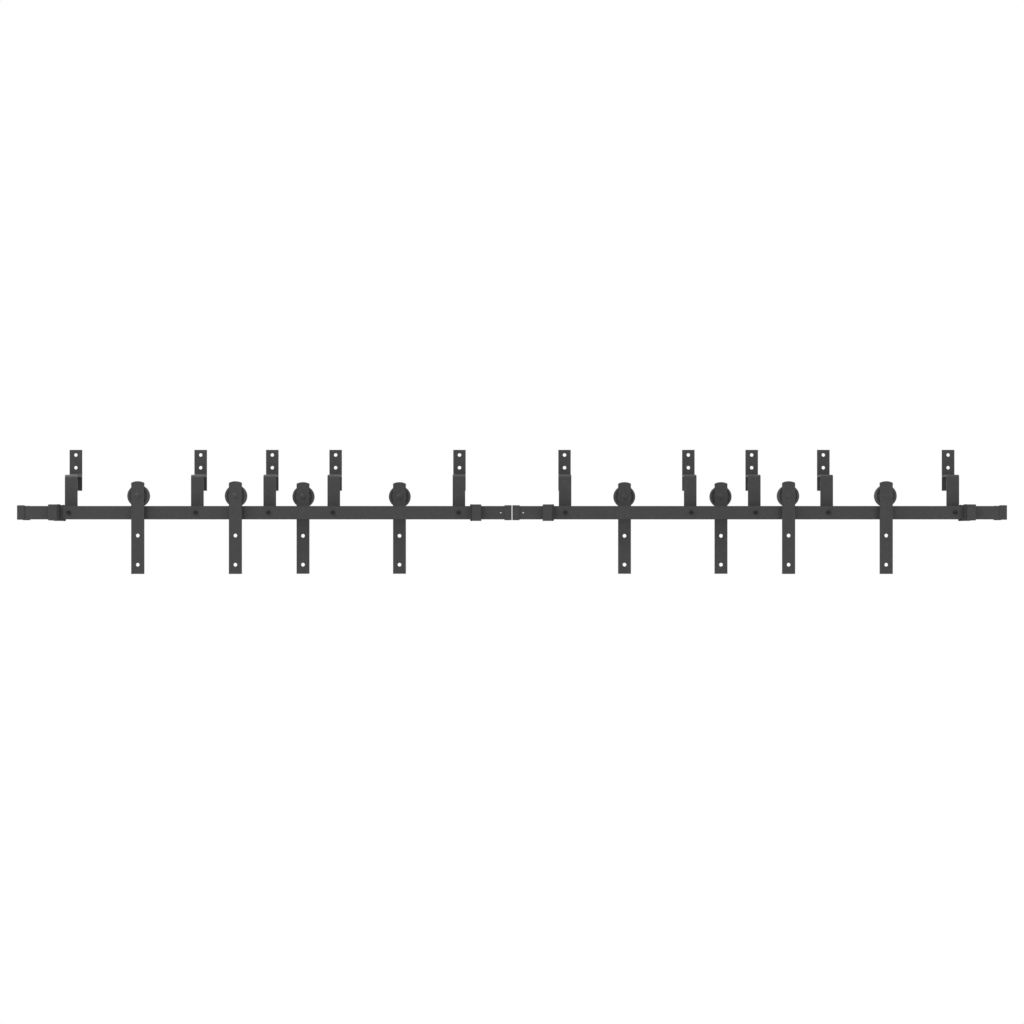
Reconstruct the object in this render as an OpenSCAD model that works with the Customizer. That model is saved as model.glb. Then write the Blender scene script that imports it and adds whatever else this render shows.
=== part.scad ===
// Bypass hardware for four sliding barn doors: two parallel tracks, each made of a left and a right rail.
// Y = 0 is the wall plane and -Y points into the room. Z = 0 is the mid-height of the rails.
// X = 0 is the joint between the left and the right rails, and the two halves mirror each other.

/* [Rails] */
// Length of each flat steel rail
rail_len = 1524; // [1480:1:1800]
// Height of the rail bar
rail_h = 40; // [36:1:42]
// Thickness of the rail bar
rail_t = 6; // [5:0.5:6.5]
// Distance from the wall plane to the middle of the rear rail
rear_rail_d = 34; // [33:0.5:36]
// Distance between the middles of the rear and the front rail
track_pitch = 78; // [77:0.5:84]
// Gap left between the left and the right end caps at the joint
joint_gap = 2; // [1:0.5:6]
// Diameter of the locating hole near the joint end of each rail
joint_hole_d = 4.5; // [3:0.5:8]
// Distance of that hole from the rail's end
joint_hole_inset = 31.5; // [28:0.5:45]

/* [Brackets] */
// Distances of the brackets from the joint
bracket_x = [165, 554, 753, 978, 1370]; // [140:1:1380]
// Width of the flat bar that the brackets are made of
bracket_w = 39; // [30:1:44]
// Thickness of that bar
bracket_t = 6; // [5:0.5:7]
// Height of the wall plate's lower edge above the rail's middle
plate_low = 70.5; // [66:0.5:80]
// Height of the wall plate's upper edge above the rail's middle
plate_high = 199; // [195:1:230]
// Height of the arm's top face above the rail's middle
arm_top = 118.5; // [114:0.5:124]
// Inside radius of the bend between the arm and the leg
bend_r = 4; // [2:0.5:8]
// Height of the weld bead between the arm's top face and the wall plate
weld_h = 5; // [3:0.5:8]
// Diameter of the two holes in the wall plate
plate_hole_d = 11; // [8:0.5:14]
// Distance between the two holes in the wall plate
plate_hole_pitch = 40; // [32:1:44]
// Distance of the upper hole from the plate's upper edge
plate_hole_inset = 16; // [12:0.5:20]
// Depth of the leg's end below the rail's middle
leg_drop = 18; // [14:1:19]

/* [Hangers] */
// Middle of the front doors' hanger pairs, measured from the joint
front_pair_x = 1003.5; // [900:0.5:1100]
// Middle of the rear doors' hanger pairs, measured from the joint
rear_pair_x = 501.5; // [420:0.5:600]
// Distance between the two hangers of one door
pair_pitch = 301; // [200:1:340]
// Width of the strap
strap_w = 40; // [30:1:44]
// Thickness of the strap
strap_t = 6; // [5:0.5:7]
// Depth of the strap's lower end below the rail's middle
strap_drop = 190; // [180:1:260]
// Diameter of the two door holes in the strap
strap_hole_d = 11.5; // [8:0.5:14]
// Distance between the two door holes
strap_hole_pitch = 90; // [70:1:100]
// Distance of the lower door hole from the strap's lower end
strap_hole_inset = 28.5; // [20:0.5:40]
// Gap between the strap's back and the wheel's face
wheel_gap = 3; // [2:0.5:3.5]

/* [Wheels] */
// Outer diameter of the wheel's flanges
flange_d = 68; // [66:1:70]
// Thickness of the wheel
wheel_w = 20; // [18:0.5:20]
// Radius at which the wheel rolls on the rail's top edge
tread_r = 31; // [30:0.5:31.5]
// Width of the groove at its floor
groove_w = 7.4; // [7:0.2:8.4]
// Outer diameter of the ball bearing
bearing_d = 30; // [26:1:32]
// Width of the ball bearing
bearing_w = 9; // [8:0.5:10]
// Diameter of the axle bolt's shank
axle_d = 10; // [8:0.5:12]
// Diameter of the axle bolt's domed head
axle_head_d = 18; // [16:1:24]

/* [Stops and end caps] */
// Distance of the outer stops' middle from the joint
outer_stop_x = 1413.5; // [1405:0.5:1440]
// Distance of the inner stops' middle from the joint
inner_stop_x = 112.5; // [80:0.5:115]
// Length of a stop along the rail, with its bumper
stop_len = 34; // [30:1:36]
// Length of the rubber bumper on the hanger side
bumper_len = 6; // [4:1:16]
// Height of a stop's steel block
stop_h = 49.5; // [46:0.5:50]
// Depth of a stop from front to back
stop_d = 27; // [25:0.5:28]
// Thickness of a stop behind the rail
stop_back_t = 5; // [4:0.5:6]
// Length of an end cap along the rail
cap_len = 22.5; // [16:0.5:26]
// Height of an end cap
cap_h = 45; // [43:0.5:46]
// Thickness of an end cap from front to back
cap_t = 10; // [9:0.5:12]
// Thickness of an end cap's closed end
cap_end_t = 2.25; // [1.5:0.25:3]

/* [Fasteners] */
// Diameter of the bolts that hold the rails
bolt_d = 8; // [6:0.5:8]
// Diameter of the clearance holes for those bolts
bolt_hole_d = 9; // [8.5:0.1:10]
// Diameter of the low socket heads on the front rail
socket_head_d = 13; // [12:0.5:15]
// Diameter of the spacer tubes behind the rails
spacer_d = 20; // [16:0.5:24]
// Depth that the rear rail's lag bolts reach into the wall
lag_reach = 45; // [20:1:60]

/* [Hidden] */
$fn = 64;
// Facets of the largest circles
fine_fn = 128;
// Clearance of a piece that slides onto the rail
slip = 0.15;
// Clearance kept between the wheel's groove and the rail
tread_gap = 0.3;
// Overlap that makes a cut pass through a face
cut = 1;

rear_rail_y = -rear_rail_d;
front_rail_y = rear_rail_y - track_pitch;
rail_inner_x = joint_gap / 2 + cap_end_t;
rail_outer_x = rail_inner_x + rail_len;

// The brackets' legs stand midway between the tracks, with spacers as long as the rear rail's.
spacer_len = rear_rail_d - rail_t / 2;
leg_front_y = front_rail_y + rail_t / 2 + spacer_len;
leg_back_y = leg_front_y + bracket_t;

// The wheel is centred on its rail, and the strap hangs in front of the wheel.
axle_z = rail_h / 2 + tread_r;
strap_back = -wheel_w / 2 - wheel_gap;
strap_front = strap_back - strap_t;
strap_top_r = 45;

// Wheel section
rim_chamfer = 1;
groove_flare = 0.7;
face_recess = 2.5;
hub_wall = 3;
rim_depth = 7;
bearing_lip = 2.5;
hub_r = bearing_d / 2 + hub_wall;
rim_inner_r = flange_d / 2 - rim_depth;
bearing_lip_r = bearing_d / 2 - bearing_lip;

// Axle stack
axle_head_h = 3;
sleeve_d = 14;
running_gap = 0.05;
sleeve_gap = 0.1;
sleeve_bore_d = axle_d + 2 * sleeve_gap;
bearing_side_gap = 0.3;
sleeve_proud = 1;
sleeve_end = wheel_w / 2 + sleeve_proud;
axle_nut_h = 8;
axle_nut_af = 16;

// Rail bolts
socket_head_h = 5;
socket_af = 5;
socket_depth = 3;
washer_d = 16;
washer_t = 1.6;
nut_h = 6.5;
nut_af = 13;
thread_past_nut = 1.5;
lag_head_h = 5.5;
lag_shank_d = 7.4;
lag_point_len = 8;
lag_point_r = 0.8;

// Stops
bumper_proud = 0.5;

steel_black = [0.27, 0.27, 0.28];
bolt_black = [0.12, 0.12, 0.12];
rubber_black = [0.16, 0.16, 0.16];
plastic_black = [0.22, 0.22, 0.22];
bearing_steel = [0.6, 0.6, 0.62];

function side_sign(side) = side == "left" ? -1 : 1;
function track_y(track) = track == "front" ? front_rail_y : rear_rail_y;
function pair_x(track) = track == "front" ? front_pair_x : rear_pair_x;
function hanger_x(track, place) = pair_x(track) + (place == "outer" ? 1 : -1) * pair_pitch / 2;
function across_corners(af) = 2 * af / sqrt(3);

SIDES = ["left", "right"];
TRACKS = ["front", "rear"];
BRACKETS = [
    for (side = SIDES, i = [0:len(bracket_x) - 1])
        [str("bracket_", side, "_", i + 1), side_sign(side) * bracket_x[i]]
];
// Each hanger's name, place along the track and track depth
HANGERS = [
    for (track = TRACKS, side = SIDES, place = ["outer", "inner"])
        [str(track, "_", side, "_", place), side_sign(side) * hanger_x(track, place), track_y(track)]
];

// A box centred on x, from y0 to y1 and from z0 to z1
module slab(w, y0, y1, z0, z1) {
    translate([-w / 2, y0, z0]) cube([w, y1 - y0, z1 - z0]);
}

// A round bar along Y, from y0 to y1
module bar_y(d, y0, y1) {
    translate([0, y0, 0]) rotate([-90, 0, 0]) cylinder(d = d, h = y1 - y0);
}

// A hexagonal bar along Y, with its flats facing up and down
module hex_y(af, y0, y1) {
    translate([0, y0, 0]) rotate([-90, 0, 0]) cylinder(d = across_corners(af), h = y1 - y0, $fn = 6);
}

module tube_y(d, bore_d, y0, y1) {
    difference() {
        bar_y(d, y0, y1);
        bar_y(bore_d, y0 - cut, y1 + cut);
    }
}

// Repeats its children at every bracket
module at_brackets() {
    for (b = BRACKETS) translate([b[1], 0, 0]) children();
}

module rail(side, y) {
    color(steel_black)
    translate([0, y, 0])
    difference() {
        translate([side_sign(side) * (rail_inner_x + rail_len / 2), 0, 0])
            cube([rail_len, rail_t, rail_h], center = true);
        for (x = bracket_x)
            translate([side_sign(side) * x, 0, 0]) bar_y(bolt_hole_d, -rail_t, rail_t);
        translate([side_sign(side) * (rail_inner_x + joint_hole_inset), 0, 0])
            bar_y(joint_hole_d, -rail_t, rail_t);
    }
}

// Arm, leg and weld bead in side view: X of this outline is the depth and Y is the height
module arm_and_leg_outline() {
    outer_r = bend_r + bracket_t;
    bend_y = leg_front_y + outer_r;
    bend_z = arm_top - outer_r;
    translate([bend_y, arm_top - bracket_t]) square([-bracket_t - bend_y, bracket_t]);
    translate([-bracket_t, arm_top]) polygon([[0, 0], [0, weld_h], [-weld_h, 0]]);
    translate([leg_front_y, -leg_drop]) square([bracket_t, bend_z + leg_drop]);
    intersection() {
        difference() {
            translate([bend_y, bend_z]) circle(r = outer_r);
            translate([bend_y, bend_z]) circle(r = bend_r);
        }
        translate([leg_front_y, bend_z]) square([outer_r, outer_r]);
    }
}

// A wall plate with the arm welded to its face, and the arm bent down into the leg
module bracket() {
    color(steel_black)
    difference() {
        union() {
            slab(bracket_w, -bracket_t, 0, plate_low, plate_high);
            translate([-bracket_w / 2, 0, 0]) rotate([90, 0, 90])
                linear_extrude(bracket_w) arm_and_leg_outline();
        }
        for (drop = [0, plate_hole_pitch])
            translate([0, 0, plate_high - plate_hole_inset - drop])
                bar_y(plate_hole_d, -bracket_t - cut, cut);
        bar_y(bolt_hole_d, leg_front_y - cut, leg_back_y + cut);
    }
}

module front_rail_spacers() {
    color(steel_black) at_brackets() tube_y(spacer_d, bolt_hole_d, leg_front_y - spacer_len, leg_front_y);
}

module rear_rail_spacers() {
    color(steel_black) at_brackets() tube_y(spacer_d, bolt_hole_d, -spacer_len, 0);
}

// Low-head socket bolts through the front rail, its spacers and the legs
module front_rail_bolts() {
    head_seat = front_rail_y - rail_t / 2;
    head_face = head_seat - socket_head_h;
    color(bolt_black) at_brackets() difference() {
        union() {
            bar_y(socket_head_d, head_face, head_seat);
            bar_y(bolt_d, head_seat, leg_back_y + washer_t + nut_h + thread_past_nut);
        }
        hex_y(socket_af, head_face - cut, head_face + socket_depth);
    }
}

module front_rail_washers() {
    color(bolt_black) at_brackets() tube_y(washer_d, bolt_hole_d, leg_back_y, leg_back_y + washer_t);
}

module front_rail_nuts() {
    nut_face = leg_back_y + washer_t;
    color(bolt_black) at_brackets() difference() {
        hex_y(nut_af, nut_face, nut_face + nut_h);
        bar_y(bolt_d + 2 * running_gap, nut_face - cut, nut_face + nut_h + cut);
    }
}

// Hex-head lag bolts through the rear rail and its spacers into the wall
module rear_rail_lag_bolts() {
    head_seat = rear_rail_y - rail_t / 2;
    shank_end = lag_reach - lag_point_len;
    color(bolt_black) at_brackets() union() {
        bar_y(washer_d, head_seat - washer_t, head_seat);
        hex_y(nut_af, head_seat - washer_t - lag_head_h, head_seat - washer_t);
        bar_y(lag_shank_d, head_seat, 0);
        bar_y(bolt_d, 0, shank_end);
        translate([0, shank_end, 0]) rotate([-90, 0, 0])
            cylinder(r1 = bolt_d / 2, r2 = lag_point_r, h = lag_point_len);
    }
}

// Repeats its children at the four stops of a track, each turned so that +X is the hanger side
module at_stops(track) {
    translate([0, track_y(track), 0])
        for (side = [-1, 1]) {
            translate([side * inner_stop_x, 0, 0]) mirror([side < 0 ? 1 : 0, 0, 0]) children();
            translate([side * outer_stop_x, 0, 0]) mirror([side > 0 ? 1 : 0, 0, 0]) children();
        }
}

// A block around the rail, from x0 to x1 in the stop's own frame
module stop_ring(x0, x1, h) {
    back = rail_t / 2 + stop_back_t;
    difference() {
        translate([x0, back - stop_d, -h / 2]) cube([x1 - x0, stop_d, h]);
        translate([x0 - cut, -rail_t / 2 - slip, -rail_h / 2 - slip])
            cube([x1 - x0 + 2 * cut, rail_t + 2 * slip, rail_h + 2 * slip]);
    }
}

// Steel blocks of one track, without their rubber faces
module stops(track) {
    color(steel_black) at_stops(track) stop_ring(-stop_len / 2, stop_len / 2 - bumper_len, stop_h);
}

module stop_bumpers() {
    color(rubber_black)
    for (track = TRACKS)
        at_stops(track) stop_ring(stop_len / 2 - bumper_len, stop_len / 2, stop_h + 2 * bumper_proud);
}

// Caps of one track: a closed end and a sleeve over the last stretch of the rail
module end_caps(track) {
    color(plastic_black)
    translate([0, track_y(track), 0])
        for (side = [-1, 1], end = [[rail_inner_x, -1], [rail_outer_x, 1]])
            translate([side * end[0], 0, 0]) mirror([side * end[1] < 0 ? 1 : 0, 0, 0])
                difference() {
                    translate([cap_end_t - cap_len, -cap_t / 2, -cap_h / 2]) cube([cap_len, cap_t, cap_h]);
                    translate([-cap_len, -rail_t / 2 - slip, -rail_h / 2 - slip])
                        cube([cap_len, rail_t + 2 * slip, rail_h + 2 * slip]);
                }
}

// Places its children at a hanger's axle
module at_hanger(h) {
    translate([h[1], h[2], axle_z]) children();
}

// The strap's outline about the axle: straight sides and an arc on top
module strap_outline() {
    drop = axle_z + strap_drop;
    translate([-strap_w / 2, -drop]) square([strap_w, drop]);
    intersection() {
        circle(r = strap_top_r, $fn = fine_fn);
        translate([-strap_w / 2, 0]) square([strap_w, strap_top_r]);
    }
}

module strap() {
    lower_hole_z = strap_hole_inset - strap_drop - axle_z;
    color(steel_black) difference() {
        translate([0, strap_back, 0]) rotate([90, 0, 0]) linear_extrude(strap_t) strap_outline();
        bar_y(axle_d + 2 * running_gap, strap_front - cut, strap_back + cut);
        for (rise = [0, strap_hole_pitch])
            translate([0, 0, lower_hole_z + rise]) bar_y(strap_hole_d, strap_front - cut, strap_back + cut);
    }
}

// Coated axle bolt with a domed head, a sleeve on each side of the bearing, and the nut
module axle() {
    head_r = axle_head_d / 2;
    dome_r = (head_r * head_r + axle_head_h * axle_head_h) / (2 * axle_head_h);
    sleeve_start = bearing_w / 2 + bearing_side_gap;
    nut_end = sleeve_end + axle_nut_h;
    color(steel_black) {
        intersection() {
            translate([0, strap_front - axle_head_h + dome_r, 0]) rotate([-90, 0, 0]) sphere(r = dome_r);
            bar_y(axle_head_d, strap_front - axle_head_h - cut, strap_front);
        }
        bar_y(axle_d, strap_front, nut_end);
        tube_y(sleeve_d, sleeve_bore_d, strap_back, -sleeve_start);
        tube_y(sleeve_d, sleeve_bore_d, sleeve_start, sleeve_end);
        difference() {
            hex_y(axle_nut_af, sleeve_end, nut_end);
            bar_y(sleeve_bore_d, sleeve_end - cut, nut_end + cut);
        }
    }
}

// Grooved wheel with a flange on each side and a seat for the bearing
module wheel() {
    half_w = wheel_w / 2;
    flange_r = flange_d / 2;
    floor_r = tread_r - tread_gap;
    half_floor = groove_w / 2;
    half_mouth = half_floor + groove_flare;
    color(plastic_black) rotate([-90, 0, 0]) rotate_extrude($fn = fine_fn) polygon([
        [bearing_lip_r, -half_w],
        [hub_r, -half_w],
        [hub_r, face_recess - half_w],
        [rim_inner_r, face_recess - half_w],
        [rim_inner_r, -half_w],
        [flange_r - rim_chamfer, -half_w],
        [flange_r, rim_chamfer - half_w],
        [flange_r, -half_mouth],
        [floor_r, -half_floor],
        [floor_r, half_floor],
        [flange_r, half_mouth],
        [flange_r, half_w - rim_chamfer],
        [flange_r - rim_chamfer, half_w],
        [rim_inner_r, half_w],
        [rim_inner_r, half_w - face_recess],
        [hub_r, half_w - face_recess],
        [hub_r, half_w],
        [bearing_d / 2, half_w],
        [bearing_d / 2, -bearing_w / 2],
        [bearing_lip_r, -bearing_w / 2]
    ]);
}

// Sealed ball bearing pressed into the wheel, running on the axle bolt
module bearing() {
    color(bearing_steel) tube_y(bearing_d, axle_d + 2 * running_gap, -bearing_w / 2, bearing_w / 2);
}

for (track = TRACKS, side = SIDES)
    rail(side, track_y(track));
for (b = BRACKETS)
    translate([b[1], 0, 0]) bracket();
front_rail_spacers();
rear_rail_spacers();
front_rail_bolts();
front_rail_washers();
front_rail_nuts();
rear_rail_lag_bolts();
for (track = TRACKS)
    stops(track);
stop_bumpers();
for (track = TRACKS)
    end_caps(track);
for (h = HANGERS) {
    at_hanger(h) strap();
    at_hanger(h) axle();
    at_hanger(h) wheel();
    at_hanger(h) bearing();
}
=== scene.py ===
"""Looks of the bypass barn door hardware: rounded edges, turned parts, finishes, light and camera.

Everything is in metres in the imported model's frame: X along the rails, Y into the wall, Z up.
"""

import math

import bmesh
import bpy
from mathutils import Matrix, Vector


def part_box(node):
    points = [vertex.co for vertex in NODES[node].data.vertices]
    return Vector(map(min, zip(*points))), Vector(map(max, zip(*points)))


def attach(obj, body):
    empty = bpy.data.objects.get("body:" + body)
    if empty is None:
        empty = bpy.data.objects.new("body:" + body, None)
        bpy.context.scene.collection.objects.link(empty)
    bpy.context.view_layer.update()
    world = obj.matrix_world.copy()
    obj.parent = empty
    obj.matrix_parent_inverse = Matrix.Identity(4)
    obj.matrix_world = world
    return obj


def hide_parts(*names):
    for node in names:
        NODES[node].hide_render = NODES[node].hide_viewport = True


MM = 0.001
# Vertices closer than this are one vertex.
MERGE = 0.002 * MM

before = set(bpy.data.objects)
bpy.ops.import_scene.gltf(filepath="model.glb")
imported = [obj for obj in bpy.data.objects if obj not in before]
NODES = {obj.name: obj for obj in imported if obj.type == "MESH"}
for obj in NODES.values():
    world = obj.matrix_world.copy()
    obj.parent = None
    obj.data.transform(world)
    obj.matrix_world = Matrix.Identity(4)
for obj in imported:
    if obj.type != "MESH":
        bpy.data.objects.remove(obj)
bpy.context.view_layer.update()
ROOT = "fixed_track"
BRACKETS = sorted(name for name in NODES if name.startswith("bracket_"))
HANGERS = sorted(name[:-len("_wheel")] for name in NODES if name.endswith("_wheel"))


def linked(name, data):
    """A new object for the data, in the scene."""
    piece = bpy.data.objects.new(name, data)
    bpy.context.scene.collection.objects.link(piece)
    return piece


def middle(node):
    low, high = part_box(node)
    return (low + high) / 2


# ---------------------------------------------------------------- materials

class Shader:
    """A Principled material with its node tree, and short helpers to add nodes."""

    def __init__(self, name, specular=0.5, metallic=0.0):
        self.material = bpy.data.materials.new(name)
        self.material.use_nodes = True
        self.nodes = self.material.node_tree.nodes
        self.links = self.material.node_tree.links
        self.bsdf = self.nodes["Principled BSDF"]
        self.bsdf.inputs["Specular IOR Level"].default_value = specular
        self.bsdf.inputs["Metallic"].default_value = metallic
        self.place = self.nodes.new("ShaderNodeTexCoord").outputs["Object"]

    def noise(self, size, detail=3.0):
        """Noise whose features are about size metres across."""
        node = self.nodes.new("ShaderNodeTexNoise")
        node.inputs["Scale"].default_value = 1 / size
        node.inputs["Detail"].default_value = detail
        self.links.new(self.place, node.inputs["Vector"])
        return node.outputs["Fac"]

    def span(self, value, low, high, start=0.3, end=0.7):
        """Maps a value from start..end to low..high."""
        node = self.nodes.new("ShaderNodeMapRange")
        self.links.new(value, node.inputs["Value"])
        node.inputs["From Min"].default_value = start
        node.inputs["From Max"].default_value = end
        node.inputs["To Min"].default_value = low
        node.inputs["To Max"].default_value = high
        return node.outputs["Result"]

    def mix(self, factor, first, second):
        """Mixes two colours, each an RGB tuple or a socket."""
        node = self.nodes.new("ShaderNodeMix")
        node.data_type = "RGBA"
        self.links.new(factor, node.inputs["Factor"])
        for socket, colour in (("A", first), ("B", second)):
            target = [i for i in node.inputs if i.name == socket and i.type == "RGBA"][0]
            if isinstance(colour, tuple):
                target.default_value = (*colour, 1.0)
            else:
                self.links.new(colour, target)
        return [o for o in node.outputs if o.type == "RGBA"][0]

    def product(self, first, second):
        node = self.nodes.new("ShaderNodeMath")
        node.operation = "MULTIPLY"
        self.links.new(first, node.inputs[0])
        self.links.new(second, node.inputs[1])
        return node.outputs["Value"]

    def flats(self, reach):
        """1 on the flats, about 0.8 along the convex edges."""
        node = self.nodes.new("ShaderNodeAmbientOcclusion")
        node.inside = True
        node.only_local = True
        node.samples = 4
        node.inputs["Distance"].default_value = reach
        return self.span(node.outputs["AO"], 0.0, 1.0, 0.55, 0.85)

    def bump(self, *layers):
        """Chains bumps, each a (height socket, depth in metres) pair."""
        normal = None
        for height, depth in layers:
            node = self.nodes.new("ShaderNodeBump")
            node.inputs["Distance"].default_value = depth
            self.links.new(height, node.inputs["Height"])
            if normal is not None:
                self.links.new(normal, node.inputs["Normal"])
            normal = node.outputs["Normal"]
        self.links.new(normal, self.bsdf.inputs["Normal"])

    def colour(self, value):
        self.links.new(value, self.bsdf.inputs["Base Color"])

    def roughness(self, value):
        self.links.new(value, self.bsdf.inputs["Roughness"])


def grey(value, warmth=0.0):
    return (value * (1 + warmth), value, value * (1 - warmth))


def powder_coat():
    """Matt charcoal powder coat: fine sand texture over a faint orange peel, in places a little lighter."""
    s = Shader("powder_coat", specular=0.5)
    tone = s.mix(s.span(s.noise(0.09), 0, 1), grey(0.0375, -0.01), grey(0.0405, -0.01))
    speck = s.mix(s.span(s.noise(0.0016, 2), 0, 0.5, 0.35, 0.65), tone, grey(0.033))
    patches = s.product(s.flats(0.8 * MM), s.span(s.noise(0.012, 4), 0, 0.4, 0.5, 0.75))
    s.colour(s.mix(patches, speck, grey(0.06)))
    s.roughness(s.span(s.noise(0.02, 4), 0.54, 0.62))
    s.bump((s.noise(0.005, 2), 0.03 * MM), (s.noise(0.0011, 2), 0.05 * MM))
    return s.material


def black_oxide():
    """Black oxide on turned steel: near black, oily, with a fine grain."""
    s = Shader("black_oxide", specular=0.3)
    s.colour(s.mix(s.span(s.noise(0.004, 4), 0, 1), grey(0.010), grey(0.018, 0.02)))
    s.roughness(s.span(s.noise(0.0022, 3), 0.36, 0.56))
    s.bump((s.noise(0.0007, 2), 0.03 * MM))
    return s.material


def moulded_rubber():
    """Dense black rubber, with dusty patches and a fine mould grain."""
    s = Shader("moulded_rubber", specular=0.3)
    dusty = s.span(s.noise(0.011, 5), 0, 0.5, 0.5, 0.75)
    s.colour(s.mix(dusty, grey(0.033), grey(0.048)))
    s.roughness(s.span(s.noise(0.005, 3), 0.72, 0.88))
    s.bump((s.noise(0.0009, 3), 0.08 * MM))
    return s.material


def cap_plastic():
    """Spark-eroded matt plastic of the end caps."""
    s = Shader("cap_plastic", specular=0.45)
    s.colour(s.mix(s.span(s.noise(0.03), 0, 1), grey(0.038), grey(0.043)))
    s.roughness(s.span(s.noise(0.004, 3), 0.5, 0.62))
    s.bump((s.noise(0.0006, 3), 0.05 * MM))
    return s.material


def wheel_nylon():
    """Moulded nylon, faintly cloudy, with a soft sheen."""
    s = Shader("wheel_nylon", specular=0.5)
    s.colour(s.mix(s.span(s.noise(0.014, 4), 0, 1), grey(0.056), grey(0.066)))
    s.roughness(s.span(s.noise(0.007, 3), 0.4, 0.52))
    s.bump((s.noise(0.0012, 3), 0.04 * MM))
    return s.material


def ground_steel():
    """Bright ground steel of the bearing rings."""
    s = Shader("ground_steel", metallic=1.0)
    s.colour(s.mix(s.span(s.noise(0.006, 3), 0, 1), grey(0.42), grey(0.55)))
    s.roughness(s.span(s.noise(0.0015, 3), 0.24, 0.36))
    s.bump((s.noise(0.0005, 2), 0.01 * MM))
    return s.material


COAT = powder_coat()
OXIDE = black_oxide()
RUBBER = moulded_rubber()
PLASTIC = cap_plastic()
NYLON = wheel_nylon()
STEEL = ground_steel()


# ---------------------------------------------------------------- meshes

SMOOTH_UNDER = math.radians(32)


def finish_mesh(name, mesh, materials):
    """Links a mesh as an object, smooth except across its sharp edges, with its flats kept flat."""
    piece = linked(name, mesh)
    for material in materials:
        mesh.materials.append(material)
    mesh.shade_smooth()
    mesh.set_sharp_from_angle(angle=SMOOTH_UNDER)
    normals = piece.modifiers.new("flats", "WEIGHTED_NORMAL")
    normals.keep_sharp = True
    return piece


def adopt(piece, body, slot, *nodes):
    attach(piece, body)
    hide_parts(*nodes)
    return piece


def rounded_copy(node, radius, material, segments=2):
    """The CAD node's own shape, with its sharp edges broken to a small radius."""
    bm = bmesh.new()
    bm.from_mesh(NODES[node].data)
    bmesh.ops.remove_doubles(bm, verts=bm.verts, dist=MERGE)
    bmesh.ops.dissolve_limit(bm, angle_limit=math.radians(0.5), verts=bm.verts, edges=bm.edges)
    sharp = [e for e in bm.edges if len(e.link_faces) == 2 and e.calc_face_angle() > SMOOTH_UNDER]
    bmesh.ops.bevel(bm, geom=sharp, offset=radius, offset_type="OFFSET", segments=segments,
                    profile=0.5, affect="EDGES", clamp_overlap=True)
    mesh = bpy.data.meshes.new(node + "_rounded")
    bm.to_mesh(mesh)
    bm.free()
    return finish_mesh(node + "_rounded", mesh, [material])


STEPS = 48
ANGLES = [2 * math.pi * k / STEPS for k in range(STEPS)]


def round_ring(r):
    return [r] * STEPS


def hex_ring(flats):
    """Radii of a hexagon with two flats facing up and down, at the same angles as a round ring."""
    sector = math.pi / 3
    return [flats / 2 / math.cos(a % sector - sector / 2) for a in ANGLES]


def turned(rings, at, paint=None):
    """Vertices and faces of a body turned about an axis along Y.

    Each ring is (depth or list of depths, radii). A ring with radii None is a point that closes the end.
    paint gives the material index of the band before each ring.
    """
    points, faces, marks, previous = [], [], [], None
    for k, (depth, radii) in enumerate(rings):
        depths = depth if isinstance(depth, list) else [depth] * STEPS
        start = len(points)
        if radii is None:
            points.append(at + Vector((0, depths[0], 0)))
            current = [start] * STEPS
        else:
            for a, r, d in zip(ANGLES, radii, depths):
                points.append(at + Vector((r * math.cos(a), d, r * math.sin(a))))
            current = list(range(start, start + STEPS))
        if previous is not None:
            for i in range(STEPS):
                j = (i + 1) % STEPS
                quad = (previous[i], current[i], current[j], previous[j])
                cuts = [quad]
                if radii is not None and len(set(radii)) > 1:
                    cuts = [(quad[0], quad[1], quad[3]), (quad[1], quad[2], quad[3])]
                for corners in (tuple(dict.fromkeys(c)) for c in cuts):
                    if len(corners) > 2:
                        faces.append(corners)
                        marks.append(paint[k] if paint else 0)
        previous = current
    return points, faces, marks


def joined(name, parts, materials):
    """One piece out of several (points, faces, marks) parts."""
    points, faces, marks = [], [], []
    for part_points, part_faces, part_marks in parts:
        shift = len(points)
        points += part_points
        faces += [tuple(i + shift for i in face) for face in part_faces]
        marks += part_marks
    mesh = bpy.data.meshes.new(name)
    mesh.from_pydata(points, [], faces)
    bm = bmesh.new()
    bm.from_mesh(mesh)
    bmesh.ops.recalc_face_normals(bm, faces=bm.faces)
    bm.to_mesh(mesh)
    bm.free()
    mesh.polygons.foreach_set("material_index", marks)
    return finish_mesh(name, mesh, materials)


def fillet(r0, d0, r1, d1, steps=4):
    """Rings of a quarter round from (radius r0, depth d0) to (r1, d1), bulging towards the larger radius."""
    rings = []
    for k in range(steps + 1):
        t = math.pi / 2 * k / steps
        if r1 > r0:
            rings.append((d0 + (d1 - d0) * (1 - math.cos(t)), round_ring(r0 + (r1 - r0) * math.sin(t))))
        else:
            rings.append((d0 + (d1 - d0) * math.sin(t), round_ring(r1 + (r0 - r1) * math.cos(t))))
    return rings


def hex_prism(flats, start, end, chamfer_tan=0.55):
    """Rings of a hexagon head or nut, with both faces chamfered round as real ones are."""
    radii = hex_ring(flats)
    face_r = flats / 2 * 0.96
    sink = [(r - face_r) * chamfer_tan for r in radii]
    return [
        (start, round_ring(face_r)),
        ([start + s for s in sink], radii),
        ([end - s for s in sink], radii),
        (end, round_ring(face_r)),
    ]


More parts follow.
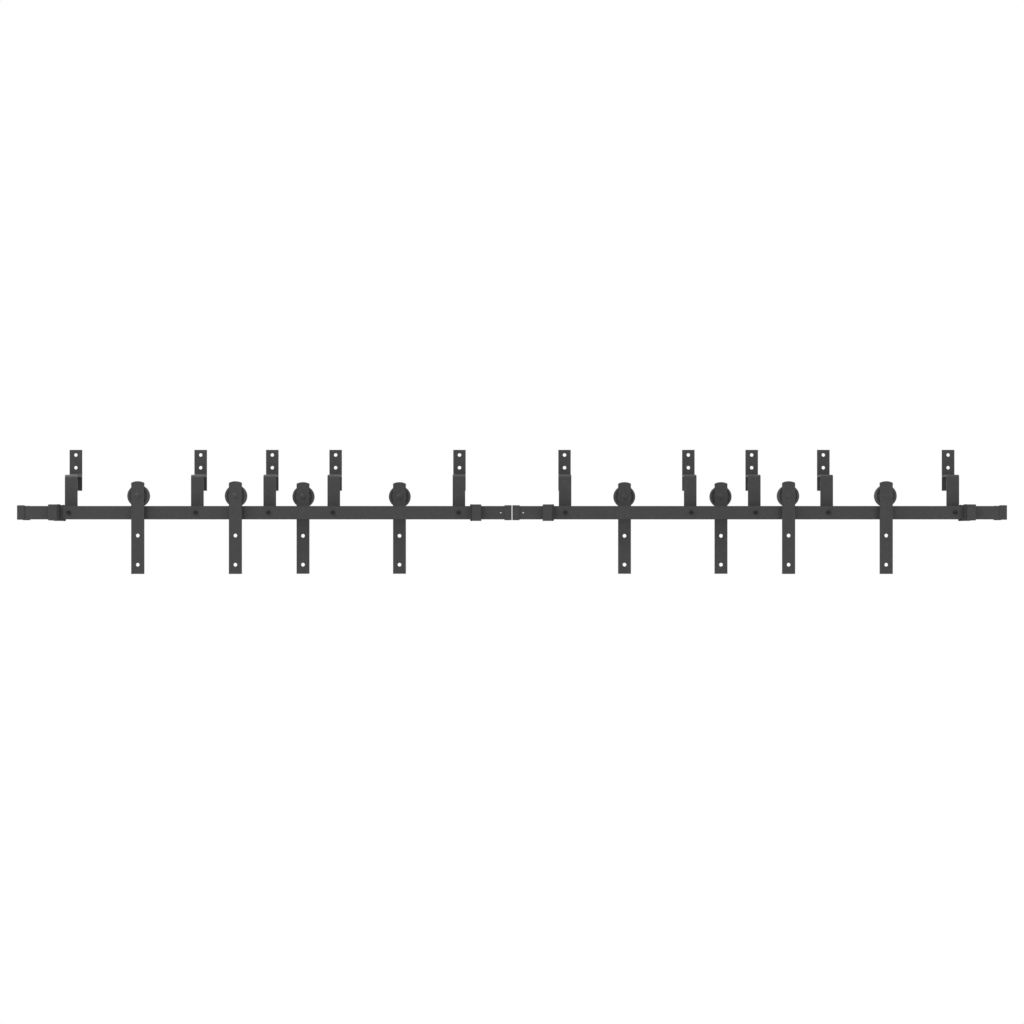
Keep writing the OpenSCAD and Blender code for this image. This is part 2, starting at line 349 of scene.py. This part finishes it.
def thread(r, depth, pitch, start, end, taper_from=None, tip_r=0.0, rings_per_turn=8):
    """Rings of a right-hand thread from start to end, ending in a taper if taper_from is given."""
    count = max(2, round((end - start) / pitch * rings_per_turn))
    rings = []
    for k in range(count + 1):
        d = start + (end - start) * k / count
        crest = r
        if taper_from is not None and d > taper_from:
            share = (d - taper_from) / (end - taper_from)
            crest = r + (tip_r - r) * share
        cut = min(depth, crest * 0.45)
        radii = []
        for a in ANGLES:
            phase = (d / pitch + a / (2 * math.pi)) % 1
            ridge = abs(2 * phase - 1)
            radii.append(crest - cut * (1 - max(0.0, 2 * ridge - 1)))
        rings.append((d, radii))
    return rings


# ---------------------------------------------------------------- plain steel parts

BAR_EDGE = 0.5 * MM
SPACER_EDGE = 0.5 * MM
BLOCK_EDGE = 1.0 * MM

for track in ("front", "rear"):
    for side in ("left", "right"):
        node = f"{track}_rail_{side}"
        adopt(rounded_copy(node, BAR_EDGE, COAT), ROOT, "powder_coated_steel", node)
    node = f"{track}_rail_spacers"
    adopt(rounded_copy(node, SPACER_EDGE, COAT), ROOT, "powder_coated_steel", node)
    node = f"{track}_rail_stops"
    adopt(rounded_copy(node, BLOCK_EDGE, COAT, segments=3), ROOT, "powder_coated_steel", node)
for node in BRACKETS:
    adopt(rounded_copy(node, BAR_EDGE, COAT), ROOT, "powder_coated_steel", node)
for hanger in HANGERS:
    node = hanger + "_strap"
    adopt(rounded_copy(node, BAR_EDGE, COAT), hanger + "_hanger", "powder_coated_steel", node)


# ---------------------------------------------------------------- rail fasteners

BOLT_R = 4 * MM
THREAD_PITCH = 1.25 * MM
THREAD_DEPTH = 0.6 * MM
SOCKET_FLATS = 5 * MM
SOCKET_DEPTH = 3 * MM
NUT_FLATS = 13 * MM
WASHER_T = 1.6 * MM
WASHER_EDGE = 0.3 * MM
WASHER_PLAY = 0.5 * MM
# Countersink where a thread enters a nut
NUT_MOUTH = 0.6 * MM
NUT_PLAY = 0.05 * MM
LAG_SHANK_R = 3.7 * MM
LAG_PITCH = 3.2 * MM
LAG_DEPTH = 1.1 * MM
LAG_POINT = 8 * MM
WALL_Y = 0.0


def socket_head_bolt(x):
    """Low-head socket bolt, with a rounded rim, a hexagon socket and a threaded end."""
    low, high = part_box("front_rail_bolts")
    head_r = (high.z - low.z) / 2
    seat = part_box("front_rail_left")[0].y
    nut_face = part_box("front_rail_nuts")[0].y
    face = low.y
    rim = 0.9 * MM
    rings = [
        (face + SOCKET_DEPTH + 0.8 * MM, None),
        (face + SOCKET_DEPTH, hex_ring(SOCKET_FLATS)),
        (face + 0.5 * MM, hex_ring(SOCKET_FLATS)),
        (face, round_ring(SOCKET_FLATS * 0.66)),
    ]
    rings += fillet(head_r - rim, face, head_r, face + rim)
    rings += [(seat, round_ring(head_r)), (seat, round_ring(BOLT_R)), (nut_face, round_ring(BOLT_R))]
    rings += thread(BOLT_R, THREAD_DEPTH, THREAD_PITCH, nut_face + 0.1 * MM, high.y - 0.8 * MM)
    rings += [(high.y, round_ring(BOLT_R - THREAD_DEPTH)), (high.y, None)]
    return turned(rings, Vector((x, 0, 0)))


def plain_washer(x):
    low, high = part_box("front_rail_washers")
    r, bore = (high.z - low.z) / 2, BOLT_R + WASHER_PLAY
    rings = [
        (low.y, round_ring(bore)),
        (low.y, round_ring(r - WASHER_EDGE)),
        (low.y + WASHER_EDGE, round_ring(r)),
        (high.y - WASHER_EDGE, round_ring(r)),
        (high.y, round_ring(r - WASHER_EDGE)),
        (high.y, round_ring(bore)),
    ]
    rings.append(rings[0])
    return turned(rings, Vector((x, 0, 0)))


def hex_nut(flats, bore, start, end):
    """Rings of a hexagon nut, countersunk on its outer face."""
    rings = [(start, round_ring(bore))] + hex_prism(flats, start, end)
    rings += [(end, round_ring(bore + NUT_MOUTH)), (end - NUT_MOUTH, round_ring(bore))]
    return rings + rings[:1]


def rail_nut(x):
    low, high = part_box("front_rail_nuts")
    return turned(hex_nut(NUT_FLATS, BOLT_R + NUT_PLAY, low.y, high.y), Vector((x, 0, 0)))


def lag_bolt(x):
    """Hexagon lag bolt with its washer: plain through the rail and spacer, threaded in the wall."""
    low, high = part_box("rear_rail_lag_bolts")
    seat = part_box("rear_rail_left")[0].y
    washer_r = (high.z - low.z) / 2
    head_back = seat - WASHER_T
    rings = [(low.y, None)]
    rings += hex_prism(NUT_FLATS, low.y, head_back)
    rings += [
        (head_back, round_ring(washer_r - WASHER_EDGE)),
        (head_back + WASHER_EDGE, round_ring(washer_r)),
        (seat - WASHER_EDGE, round_ring(washer_r)),
        (seat, round_ring(washer_r - WASHER_EDGE)),
        (seat, round_ring(LAG_SHANK_R)),
        (WALL_Y, round_ring(LAG_SHANK_R)),
        (WALL_Y, round_ring(BOLT_R)),
    ]
    rings += thread(BOLT_R, LAG_DEPTH, LAG_PITCH, WALL_Y + 0.5 * MM, high.y,
                    taper_from=high.y - LAG_POINT, tip_r=0.8 * MM)
    rings.append((high.y, None))
    return turned(rings, Vector((x, 0, 0)))


bolt_places = [middle(node).x for node in BRACKETS]
for name, node, build in (
    ("front_rail_socket_bolts", "front_rail_bolts", socket_head_bolt),
    ("front_rail_plain_washers", "front_rail_washers", plain_washer),
    ("front_rail_hex_nuts", "front_rail_nuts", rail_nut),
    ("rear_rail_hex_lag_bolts", "rear_rail_lag_bolts", lag_bolt),
):
    adopt(joined(name, [build(x) for x in bolt_places], [OXIDE]), ROOT, "black_oxide_steel", node)


# ---------------------------------------------------------------- stops and end caps

CORNER_STEPS = 6
ROUND_STEPS = 5
# Rail's clearance in a stop or cap, over both sides, and the corner radius of that slot
RAIL_PLAY = 0.3 * MM
SLOT_CORNER = 0.2 * MM
CAP_WALL = 2.25 * MM
CAP_LENGTH = 22.5 * MM


def rounded_rectangle(x, depth_mid, depth, height, corner):
    """Points of an upright rounded rectangle at x, centred on depth_mid."""
    points = []
    for quarter, (sy, sz) in enumerate(((1, 1), (-1, 1), (-1, -1), (1, -1))):
        for k in range(CORNER_STEPS + 1):
            a = math.pi / 2 * (quarter + k / CORNER_STEPS)
            y = depth_mid + sy * (depth / 2 - corner) + corner * math.cos(a)
            z = sz * (height / 2 - corner) + corner * math.sin(a)
            points.append(Vector((x, y, z)))
    return points


def lofted(loops, close_end=False, close_start=False):
    """Bridges loops of points; without ends to close, the last loop joins the first."""
    count = len(loops[0])
    points = [p for loop in loops for p in loop]
    faces = []
    bands = len(loops) - (1 if close_end or close_start else 0)
    for k in range(bands):
        a, b = k * count, ((k + 1) % len(loops)) * count
        for i in range(count):
            j = (i + 1) % count
            faces.append((a + i, b + i, b + j, a + j))
    if close_start:
        faces.append(tuple(range(count)))
    if close_end:
        faces.append(tuple(range((len(loops) - 1) * count, len(loops) * count)))
    return points, faces, [0] * len(faces)


def stop_places():
    """(left edge, right edge, front, back) of every rubber bumper, from the CAD piece's own vertices."""
    bm = bmesh.new()
    bm.from_mesh(NODES["stop_bumpers"].data)
    bmesh.ops.remove_doubles(bm, verts=bm.verts, dist=MERGE)
    places, left = [], set(bm.verts)
    while left:
        island, fresh = set(), {left.pop()}
        while fresh:
            vert = fresh.pop()
            island.add(vert)
            fresh |= {e.other_vert(vert) for e in vert.link_edges} - island
        left -= island
        xs = [v.co.x for v in island]
        ys = [v.co.y for v in island]
        places.append((min(xs), max(xs), min(ys), max(ys)))
    bm.free()
    return sorted(places)


def rail_section(front_y):
    """(middle depth, thickness, height) of the rail that passes through a piece whose front is at front_y."""
    rails = [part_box(f"{track}_rail_left") for track in ("front", "rear")]
    low, high = min(rails, key=lambda box: abs(box[0].y - front_y))
    return (low.y + high.y) / 2, high.y - low.y, high.z - low.z


def bumper(place):
    """A rubber collar around the rail, soft at every corner."""
    x0, x1, y0, y1 = place
    low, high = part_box("stop_bumpers")
    height, depth, mid = high.z - low.z, y1 - y0, (y0 + y1) / 2
    rail_mid, rail_t, rail_h = rail_section(y0)
    slot = (rail_mid, rail_t + RAIL_PLAY, rail_h + RAIL_PLAY, SLOT_CORNER)
    soft, corner = 1.6 * MM, 2.6 * MM
    near, far = [], []
    for k in range(ROUND_STEPS + 1):
        t = math.pi / 2 * k / ROUND_STEPS
        inset, along = soft * (1 - math.sin(t)), soft * (1 - math.cos(t))
        section = (mid, depth - 2 * inset, height - 2 * inset, corner - inset * 0.5)
        near.append(rounded_rectangle(x0 + along, *section))
        far.append(rounded_rectangle(x1 - along, *section))
    return lofted([rounded_rectangle(x0, *slot)] + near + far[::-1] + [rounded_rectangle(x1, *slot)])


adopt(joined("stop_bumper_collars", [bumper(place) for place in stop_places()], [RUBBER]),
      ROOT, "bumper_rubber", "stop_bumpers")


def end_cap(x_open, x_end, track):
    """A moulded cap: a sleeve over the rail's end, with rounded corners and a crowned closed end."""
    low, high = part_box(f"{track}_end_caps")
    mid, thick, tall = (low.y + high.y) / 2, high.y - low.y, high.z - low.z
    rail_mid, rail_t, rail_h = rail_section(low.y)
    way = 1 if x_end > x_open else -1
    slot = (rail_mid, rail_t + RAIL_PLAY, rail_h + RAIL_PLAY, SLOT_CORNER)
    corner, lip, crown = 2.4 * MM, 0.5 * MM, 1.8 * MM
    loops = [rounded_rectangle(x_end - way * CAP_WALL, *slot), rounded_rectangle(x_open, *slot)]
    loops.append(rounded_rectangle(x_open, mid, thick - 2 * lip, tall - 2 * lip, corner - lip))
    loops.append(rounded_rectangle(x_open + way * lip, mid, thick, tall, corner))
    for k in range(ROUND_STEPS + 1):
        t = math.pi / 2 * k / ROUND_STEPS
        inset = crown * (1 - math.cos(t))
        loops.append(rounded_rectangle(x_end - way * crown * (1 - math.sin(t)), mid, thick - 2 * inset,
                                       tall - 2 * inset, max(corner - inset, 0.5 * MM)))
    return lofted(loops, close_start=True, close_end=True)


def end_caps(track):
    """The four caps of a track: at both ends of the left and of the right rail."""
    parts = []
    for side in ("left", "right"):
        rail_low, rail_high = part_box(f"{track}_rail_{side}")
        outer = rail_low.x - CAP_WALL
        parts.append(end_cap(outer + CAP_LENGTH, outer, track))
        outer = rail_high.x + CAP_WALL
        parts.append(end_cap(outer - CAP_LENGTH, outer, track))
    return parts


for track in ("front", "rear"):
    adopt(joined(f"{track}_moulded_end_caps", end_caps(track), [PLASTIC]), ROOT, "cap_plastic",
          f"{track}_end_caps")


# ---------------------------------------------------------------- hangers

FLOOR_R = 30.7 * MM
GROOVE_HALF = 3.7 * MM
MOUTH_HALF = 4.4 * MM
HUB_R = 18 * MM
RIM_INNER_R = 27 * MM
RECESS = 2.5 * MM
SEAT_R = 15 * MM
LIP_R = 12.5 * MM
BEARING_HALF = 4.5 * MM
AXLE_R = 5 * MM
SLEEVE_R = 7 * MM
SLEEVE_BORE_R = AXLE_R + 0.1 * MM
SLEEVE_EDGE = 0.3 * MM
AXLE_NUT_FLATS = 16 * MM
AXLE_THREAD_DEPTH = 0.8 * MM
AXLE_THREAD_PITCH = 1.5 * MM
BEARING_SIDE_GAP = 0.3 * MM
SOFT = 0.8 * MM


def wheel(hanger):
    """Grooved wheel: soft flanges, a recessed web on both faces and a seat for the bearing."""
    low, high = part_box(hanger + "_wheel")
    at = (low + high) / 2
    half, flange = (high.y - low.y) / 2, (high.x - low.x) / 2
    face = [
        (LIP_R, 0), (HUB_R - SOFT, 0), (HUB_R - 0.2 * MM, 0.3 * MM), (HUB_R + 0.4 * MM, RECESS - SOFT),
        (HUB_R + SOFT + 0.4 * MM, RECESS - 0.15 * MM), (HUB_R + 2.2 * MM, RECESS),
        (RIM_INNER_R - 2.2 * MM, RECESS), (RIM_INNER_R - SOFT - 0.4 * MM, RECESS - 0.15 * MM),
        (RIM_INNER_R - 0.4 * MM, RECESS - SOFT), (RIM_INNER_R + 0.2 * MM, 0.3 * MM),
        (RIM_INNER_R + SOFT, 0), (flange - 1.2 * MM, 0), (flange - 0.5 * MM, 0.25 * MM),
        (flange - 0.1 * MM, 0.8 * MM), (flange, 1.5 * MM),
    ]
    outline = [(r, -half + d) for r, d in face]
    outline += [
        (flange, -MOUTH_HALF - 0.5 * MM), (flange - 0.4 * MM, -MOUTH_HALF),
        (FLOOR_R + 0.5 * MM, -GROOVE_HALF - 0.1 * MM), (FLOOR_R, -GROOVE_HALF + 0.5 * MM),
        (FLOOR_R, GROOVE_HALF - 0.5 * MM), (FLOOR_R + 0.5 * MM, GROOVE_HALF + 0.1 * MM),
        (flange - 0.4 * MM, MOUTH_HALF), (flange, MOUTH_HALF + 0.5 * MM),
    ]
    outline += [(r, half - d) for r, d in face[:0:-1]]
    outline += [(SEAT_R + 0.5 * MM, half), (SEAT_R, half - 0.5 * MM), (SEAT_R, -BEARING_HALF)]
    outline += [(LIP_R, -BEARING_HALF), (LIP_R, -half)]
    return turned([(d, round_ring(r)) for r, d in outline], at)


def bearing(hanger):
    """Sealed ball bearing: two bright rings with a dark seal sunk between them."""
    at = middle(hanger + "_bearing")
    bore, sink = AXLE_R + 0.05 * MM, 0.35 * MM
    inner_ring, outer_ring, edge = 7.6 * MM, 12.9 * MM, 0.3 * MM
    half = BEARING_HALF
    face = [
        (bore, edge, 0), (bore + edge, 0, 0), (inner_ring, 0, 0), (inner_ring, sink, 0),
        (inner_ring + 0.2 * MM, sink, 1), (inner_ring + 1.4 * MM, sink, 1),
        (inner_ring + 1.8 * MM, sink - 0.15 * MM, 1), (outer_ring - 1.0 * MM, sink - 0.15 * MM, 1),
        (outer_ring - 0.2 * MM, sink, 1), (outer_ring, sink, 1), (outer_ring, 0, 0),
        (SEAT_R - edge, 0, 0), (SEAT_R, edge, 0),
    ]
    front = [(-half + d, round_ring(r), m) for r, d, m in face]
    back = [(half - d, round_ring(r), m) for r, d, m in face]
    marks_back = [m for _, _, m in front][::-1]
    rings = front + [(d, radii, m) for (d, radii, _), m in zip(back[::-1], [0] + marks_back[:-1])]
    rings.append(front[0][:2] + (0,))
    return turned([(d, radii) for d, radii, _ in rings], at, [m for _, _, m in rings])


def axle(hanger):
    """Coated, domed axle bolt through the strap, a sleeve on each side of the bearing, and the nut."""
    low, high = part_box(hanger + "_axle")
    strap_low, strap_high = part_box(hanger + "_strap")
    at = Vector(((low.x + high.x) / 2, 0, (low.z + high.z) / 2))
    wheel_low, wheel_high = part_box(hanger + "_wheel")
    centre = (wheel_low.y + wheel_high.y) / 2
    head_r, head_h = (high.z - low.z) / 2, strap_low.y - low.y
    rim = 0.8 * MM
    dome_h = head_h - rim
    dome_r = (head_r ** 2 + dome_h ** 2) / (2 * dome_h)
    sweep = math.asin(head_r / dome_r)
    rings = [(low.y, None)]
    for k in range(1, 11):
        t = sweep * k / 10
        rings.append((low.y + dome_r * (1 - math.cos(t)), round_ring(dome_r * math.sin(t))))
    rings += [
        (strap_low.y - rim * 0.4, round_ring(head_r)),
        (strap_low.y, round_ring(head_r - 0.4 * MM)),
        (strap_low.y, round_ring(AXLE_R)),
    ]
    sleeve_out = wheel_high.y + MM
    rings.append((sleeve_out, round_ring(AXLE_R)))
    rings += thread(AXLE_R, AXLE_THREAD_DEPTH, AXLE_THREAD_PITCH, sleeve_out + 0.2 * MM, high.y - 0.8 * MM)
    rings += [(high.y, round_ring(AXLE_R - 0.9 * MM)), (high.y, None)]
    parts = [turned(rings, at)]
    gap = BEARING_HALF + BEARING_SIDE_GAP
    for start, end in ((strap_high.y, centre - gap), (centre + gap, sleeve_out)):
        tube = [(start, round_ring(SLEEVE_BORE_R)), (start, round_ring(SLEEVE_R - SLEEVE_EDGE)),
                (start + SLEEVE_EDGE, round_ring(SLEEVE_R)), (end - SLEEVE_EDGE, round_ring(SLEEVE_R)),
                (end, round_ring(SLEEVE_R - SLEEVE_EDGE)), (end, round_ring(SLEEVE_BORE_R))]
        tube.append(tube[0])
        parts.append(turned(tube, at))
    parts.append(turned(hex_nut(AXLE_NUT_FLATS, SLEEVE_BORE_R, sleeve_out, high.y), at))
    return parts


for hanger in HANGERS:
    adopt(joined(hanger + "_grooved_wheel", [wheel(hanger)], [NYLON]), hanger + "_wheel",
          "wheel_nylon", hanger + "_wheel")
    adopt(joined(hanger + "_sealed_bearing", [bearing(hanger)], [STEEL, RUBBER]), hanger + "_wheel",
          "bearing_steel", hanger + "_bearing")
    adopt(joined(hanger + "_axle_bolt", axle(hanger), [COAT]), hanger + "_hanger",
          "powder_coated_steel", hanger + "_axle")


# ---------------------------------------------------------------- stage, light and camera

def plane(name, size, at):
    mesh = bpy.data.meshes.new(name)
    half_x, half_y = size[0] / 2, size[1] / 2
    corners = [(-half_x, -half_y), (half_x, -half_y), (half_x, half_y), (-half_x, half_y)]
    mesh.from_pydata([Vector((x, y, 0)) + Vector(at) for x, y in corners], [], [(0, 1, 2, 3)])
    return linked(name, mesh)


# The track hangs over a door opening, so the floor is a door's height below it.
FLOOR_DROP = 2.15
# It runs 58 m into the room and ends 1.8 m behind the wall plane, where the main view does not see it.
FLOOR_SIZE = (120.0, 60.0)
FLOOR_Y = -28.2
floor = plane("floor", FLOOR_SIZE, (0, FLOOR_Y, -FLOOR_DROP))
pale = bpy.data.materials.new("pale_floor")
pale.use_nodes = True
pale.node_tree.nodes["Principled BSDF"].inputs["Base Color"].default_value = (0.86, 0.86, 0.85, 1)
pale.node_tree.nodes["Principled BSDF"].inputs["Roughness"].default_value = 0.8
floor.data.materials.append(pale)


def area_light(name, at, target, size, power):
    data = bpy.data.lights.new(name, "AREA")
    data.shape = "RECTANGLE"
    data.size, data.size_y = size
    data.energy = power
    lamp = linked(name, data)
    lamp.location = at
    lamp.rotation_euler = (Vector(target) - Vector(at)).to_track_quat("-Z", "Y").to_euler()


area_light("key", (-3.4, -2.6, 3.6), (0.3, 0, 0), (2.6, 1.6), 70)
area_light("top", (-2.6, -0.1, 2.9), (-0.8, -0.05, 0), (2.4, 1.0), 76)
area_light("back", (0, 1.2, 3.2), (0, 0, 0), (5.0, 1.0), 27)
area_light("fill", (3.0, -2.5, 0.3), (1.2, 0, 0), (1.2, 1.6), 9)

# Strength of the surroundings as a light; the camera sees them at full white.
AMBIENT = 0.765
world = bpy.data.worlds.new("studio")
bpy.context.scene.world = world
world.use_nodes = True
tree = world.node_tree
background = tree.nodes["Background"]
path = tree.nodes.new("ShaderNodeLightPath")
strength = tree.nodes.new("ShaderNodeMapRange")
strength.inputs["To Min"].default_value = AMBIENT
strength.inputs["To Max"].default_value = 1.0
tree.links.new(path.outputs["Is Camera Ray"], strength.inputs["Value"])
tree.links.new(strength.outputs["Result"], background.inputs["Strength"])
background.inputs["Color"].default_value = (1, 1, 1, 1)

CAMERA_BACK = 6.801
CAMERA_DROP = 0.147
LENS = 76.07
SHIFT_UP = 0.0469
camera_data = bpy.data.cameras.new("camera")
camera_data.sensor_width = 36
camera_data.lens = LENS
camera_data.shift_y = SHIFT_UP
camera_data.clip_end = 100
camera = linked("camera", camera_data)
camera.location = (0, -CAMERA_BACK, -CAMERA_DROP)
camera.rotation_euler = (math.pi / 2, 0, 0)
bpy.context.scene.camera = camera
bpy.context.scene.view_settings.view_transform = "Standard"
